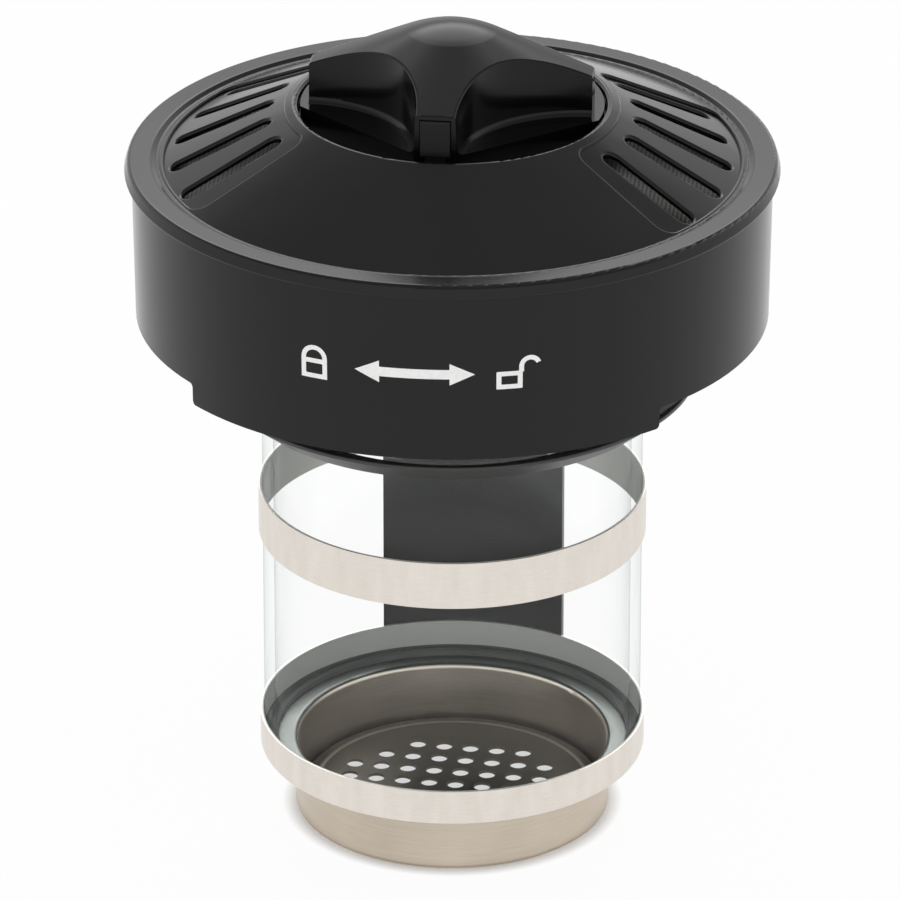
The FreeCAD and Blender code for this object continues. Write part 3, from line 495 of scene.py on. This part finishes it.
def printShape(name, outlines, centre, rise):
    # outlines are closed loops in millimetres: the first is the edge, the others are holes
    loops = bpy.data.curves.new(name + "Outline", "CURVE")
    loops.dimensions = "2D"
    loops.fill_mode = "BOTH"
    for outline in outlines:
        spline = loops.splines.new("POLY")
        spline.points.add(len(outline) - 1)
        for point, (x, y) in zip(spline.points, outline):
            point.co = (x, y, 0, 1)
        spline.use_cyclic_u = True
    carrier = bpy.data.objects.new(name + "Outline", loops)
    bpy.context.scene.collection.objects.link(carrier)
    bpy.context.view_layer.update()
    graph = bpy.context.evaluated_depsgraph_get()
    flat = bpy.data.meshes.new_from_object(carrier.evaluated_get(graph))
    bpy.data.objects.remove(carrier)
    work = bmesh.new()
    work.from_mesh(flat)
    # cut the flat shape into narrow strips, so that it bends round the drum
    for step in range(-printing["reach"], printing["reach"] + 1):
        everything = work.verts[:] + work.edges[:] + work.faces[:]
        cut = (step * printing["strip"], 0, 0)
        bmesh.ops.bisect_plane(work, geom=everything, plane_co=cut, plane_no=(1, 0, 0))
    radius = drum["bottomRadius"]
    for vert in work.verts:
        angle = centre + math.degrees(vert.co.x / radius)
        vert.co = drumPoint(angle, rise + vert.co.y)
    bmesh.ops.recalc_face_normals(work, faces=work.faces[:])
    for face in work.faces:
        middle = face.calc_center_median()
        if face.normal.dot(Vector((middle.x, middle.y, 0))) < 0:
            face.normal_flip()
    mesh = bpy.data.meshes.new(name)
    work.to_mesh(mesh)
    work.free()
    mesh.materials.append(ink)
    piece = bpy.data.objects.new(name, mesh)
    bpy.context.scene.collection.objects.link(piece)
    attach(piece, "collector")
    return piece


def roundedLoop(corners, radius, steps=5):
    points = []
    count = len(corners)
    for index, corner in enumerate(corners):
        here = Vector(corner)
        before = Vector(corners[index - 1])
        after = Vector(corners[(index + 1) % count])
        toBefore = (before - here).normalized()
        toAfter = (after - here).normalized()
        half = toBefore.angle(toAfter) / 2
        reach = min(radius / math.tan(half), (before - here).length * 0.49, (after - here).length * 0.49)
        start = here + toBefore * reach
        end = here + toAfter * reach
        for step in range(steps + 1):
            t = step / steps
            points.append(tuple((1 - t) ** 2 * start + 2 * t * (1 - t) * here + t ** 2 * end))
    return points


def arcPoints(cx, cy, radius, start, end, steps=14):
    points = []
    for step in range(steps + 1):
        turn = math.radians(start + (end - start) * step / steps)
        points.append((cx + radius * math.cos(turn), cy + radius * math.sin(turn)))
    return points


def boxLoop(left, bottom, right, top):
    return [(left, bottom), (right, bottom), (right, top), (left, top)]


# the signs' sizes and lifts are in millimetres, and each centre is in degrees about the axis
closedLock = {"width": 7.3, "height": 9.4, "body": 5.6, "corner": 0.3, "centre": -107.9, "lift": 0.2}


def makeClosedLock():
    line = printing["line"]
    side = closedLock["width"] / 2
    foot = -closedLock["height"] / 2
    shoulder = foot + closedLock["body"]
    top = closedLock["height"] / 2 - side
    edge = [(-side, foot), (side, foot)] + arcPoints(0, top, side, 0, 180)
    inner = boxLoop(-side + line, foot + line, side - line, shoulder - line)
    inner = roundedLoop(inner, closedLock["corner"])
    r = side - line
    bow = [(-r, shoulder), (r, shoulder)] + arcPoints(0, top, r, 0, 180)
    rise = printing["height"] + closedLock["lift"]
    return printShape("closedPadlock", [edge, inner, bow], closedLock["centre"], rise)


arrow = {"length": 31.6, "shaft": 2.7, "head": 6.2, "headLength": 6.6, "centre": -89.7}


def makeArrow():
    tip = arrow["length"] / 2
    neck = tip - arrow["headLength"]
    shaft = arrow["shaft"] / 2
    head = arrow["head"] / 2
    edge = [(-tip, 0), (-neck, -head), (-neck, -shaft), (neck, -shaft), (neck, -head)]
    edge += [(tip, 0), (neck, head), (neck, shaft), (-neck, shaft), (-neck, head)]
    return printShape("turnArrow", [edge], arrow["centre"], printing["height"])


openLock = {
    "width": 6.9, "height": 5.0, "corner": 0.3, "innerCorner": 0.2,
    "centre": -73.0, "drop": 2.1,
    "bow": 3.0, "bowFoot": -1.5, "bowSweep": (180, 20),
    "bowCentre": -69.3, "bowLift": 1.6,
}


def makeOpenLock():
    line = printing["line"]
    x, y = openLock["width"] / 2, openLock["height"] / 2
    edge = roundedLoop(boxLoop(-x, -y, x, y), openLock["corner"])
    inner = boxLoop(-x + line, -y + line, x - line, y - line)
    inner = roundedLoop(inner, openLock["innerCorner"])
    rise = printing["height"] - openLock["drop"]
    printShape("openPadlockBody", [edge, inner], openLock["centre"], rise)
    r, foot = openLock["bow"], openLock["bowFoot"]
    start, end = openLock["bowSweep"]
    bow = [(-r, foot)] + arcPoints(0, 0, r, start, end)
    bow += arcPoints(0, 0, r - line, end, start) + [(-r + line, foot)]
    rise = printing["height"] + openLock["bowLift"]
    printShape("openPadlockBow", [bow], openLock["bowCentre"], rise)


makeClosedLock()
makeArrow()
makeOpenLock()
print("roaster: pictograms printed on the drum")


studio = {
    "floorSize": 6.0,        # metres
    "floorColour": (0.97, 0.96, 0.95),
    "floorGlow": 0.955,      # share of the floor that shines by itself, so that it looks white
    "footPaintedShadowGlow": 0.1,         # the same round the cup's foot, where painted shadow deepens the real shadow
    "underPaintedShadeGlow": 0.62,       # and under the cup, seen through its holes: painted shade on top of the real shade there
    "foot": (36, 41, 43, 47),   # where these shares change over, in millimetres from the axis
    "light": 1.4,            # strength of the brightest part of the room
    # how bright the room is from the horizon up to the zenith, by the sine of the height
    "heights": ((0.0, 0.72), (0.22, 0.8), (0.36, 0.7), (0.5, 0.8), (0.66, 0.36), (1.0, 0.42)),
    "windowLight": 2.5,      # a soft window above and behind the roaster
    "windowTilt": 39,        # degrees above the horizon
    "windowTurn": 7,         # degrees about the axis, as the camera
    "windowEdge": (0.902, 0.97),    # where it fades in towards its middle
    "windowFoot": (0.36, 0.5),      # where it fades out downwards
    "windowSide": (0.26, 0.38),     # and to both sides
}


def makeFloor():
    mesh = bpy.data.meshes.new("studioFloor")
    half = studio["floorSize"] / 2
    corners = [(x, y, 0) for x, y in boxLoop(-half, -half, half, half)]
    mesh.from_pydata(corners, [], [(0, 1, 2, 3)])
    floor = bpy.data.objects.new("studioFloor", mesh)
    bpy.context.scene.collection.objects.link(floor)
    mat = bpy.data.materials.new("paleFloor")
    mat.use_nodes = True
    tree = mat.node_tree
    tree.nodes.clear()
    out = tree.nodes.new("ShaderNodeOutputMaterial")
    matte = tree.nodes.new("ShaderNodeBsdfDiffuse")
    matte.inputs["Color"].default_value = (*studio["floorColour"], 1)
    glow = tree.nodes.new("ShaderNodeEmission")
    seen = tree.nodes.new("ShaderNodeMixShader")
    radius = axisRadius(tree)
    steps = [mm(reach) for reach in studio["foot"]]
    # painted shadow: the glow share drops round the cup's foot and under the cup, so the floor there
    # darkens partly by its real shade and partly by the lost glow
    under = spread(tree, radius, *steps[:2], studio["underPaintedShadeGlow"], studio["footPaintedShadowGlow"])
    around = spread(tree, radius, *steps[2:], studio["footPaintedShadowGlow"], studio["floorGlow"])
    share = mathStep(tree, "MAXIMUM", under, around)
    tree.links.new(share, seen.inputs[0])
    tree.links.new(matte.outputs[0], seen.inputs[1])
    tree.links.new(glow.outputs[0], seen.inputs[2])
    path = tree.nodes.new("ShaderNodeLightPath")
    beyond = mathStep(tree, "MAXIMUM", path.outputs["Is Glossy Ray"], path.outputs["Is Transmission Ray"])
    shown = mathStep(tree, "MAXIMUM", path.outputs["Is Camera Ray"], beyond)
    pick = tree.nodes.new("ShaderNodeMixShader")
    tree.links.new(shown, pick.inputs[0])
    tree.links.new(matte.outputs[0], pick.inputs[1])
    tree.links.new(seen.outputs[0], pick.inputs[2])
    tree.links.new(pick.outputs[0], out.inputs["Surface"])
    floor.data.materials.append(mat)
    return floor


def makeWorld():
    # a white room whose walls are brightest a little above the horizon
    world = bpy.data.worlds.new("studioWorld")
    bpy.context.scene.world = world
    world.use_nodes = True
    tree = world.node_tree
    tree.nodes.clear()
    out = tree.nodes.new("ShaderNodeOutputWorld")
    direction = tree.nodes.new("ShaderNodeTexCoord").outputs["Generated"]
    height = separate(tree, direction)[2]
    walls = tree.nodes.new("ShaderNodeValToRGB")
    tree.links.new(height, walls.inputs[0])
    stops = walls.color_ramp.elements
    while len(stops) < len(studio["heights"]):
        stops.new(0.5)
    for stop, (place, level) in zip(stops, studio["heights"]):
        stop.position = place
        stop.color = (level, level, level, 1)
    facing = tree.nodes.new("ShaderNodeVectorMath")
    facing.operation = "DOT_PRODUCT"
    tilt = math.radians(studio["windowTilt"])
    turn = math.radians(studio["windowTurn"])
    level = math.cos(tilt)
    middle = (-math.sin(turn) * level, math.cos(turn) * level, math.sin(tilt))
    facing.inputs[1].default_value = middle
    tree.links.new(direction, facing.inputs[0])
    window = spread(tree, facing.outputs["Value"], *studio["windowEdge"], 0, studio["windowLight"])
    above = spread(tree, height, *studio["windowFoot"], 0, 1)
    window = mathStep(tree, "MULTIPLY", window, above)
    aside = tree.nodes.new("ShaderNodeVectorMath")
    aside.operation = "DOT_PRODUCT"
    aside.inputs[1].default_value = (math.cos(turn), math.sin(turn), 0)
    tree.links.new(direction, aside.inputs[0])
    away = mathStep(tree, "ABSOLUTE", aside.outputs["Value"])
    window = mathStep(tree, "MULTIPLY", window, spread(tree, away, *studio["windowSide"], 1, 0))
    light = mathStep(tree, "MULTIPLY", walls.outputs[0], studio["light"])
    soft = tree.nodes.new("ShaderNodeBackground")
    soft.inputs["Color"].default_value = (1, 1, 1, 1)
    tree.links.new(mathStep(tree, "ADD", light, window), soft.inputs["Strength"])
    white = tree.nodes.new("ShaderNodeBackground")
    white.inputs["Color"].default_value = (1, 1, 1, 1)
    white.inputs["Strength"].default_value = 1.0
    path = tree.nodes.new("ShaderNodeLightPath")
    shown = mathStep(tree, "MAXIMUM", path.outputs["Is Camera Ray"], path.outputs["Is Transmission Ray"])
    pick = tree.nodes.new("ShaderNodeMixShader")
    tree.links.new(shown, pick.inputs[0])
    tree.links.new(soft.outputs[0], pick.inputs[1])
    tree.links.new(white.outputs[0], pick.inputs[2])
    tree.links.new(pick.outputs[0], out.inputs["Surface"])


view = {
    "sensor": 36, "lens": 346.6,             # millimetres
    "farthest": 20,                          # metres
    "place": (-0.00064, -2.1332, 1.1032),    # metres, before the turn
    "turn": 7, "lookDown": 25.052,           # degrees
}


def makeCamera():
    cam = bpy.data.cameras.new("studioCamera")
    cam.sensor_width = view["sensor"]
    cam.lens = view["lens"]
    cam.clip_end = view["farthest"]
    turn = math.radians(view["turn"])
    eye = Matrix.Rotation(turn, 3, "Z") @ Vector(view["place"])
    camera = bpy.data.objects.new("studioCamera", cam)
    bpy.context.scene.collection.objects.link(camera)
    camera.location = eye
    camera.rotation_euler = (math.radians(90 - view["lookDown"]), 0, turn)
    bpy.context.scene.camera = camera


bpy.context.scene.view_settings.view_transform = "Standard"
makeFloor()
makeWorld()
makeCamera()
print("roaster: floor, room light and camera set")
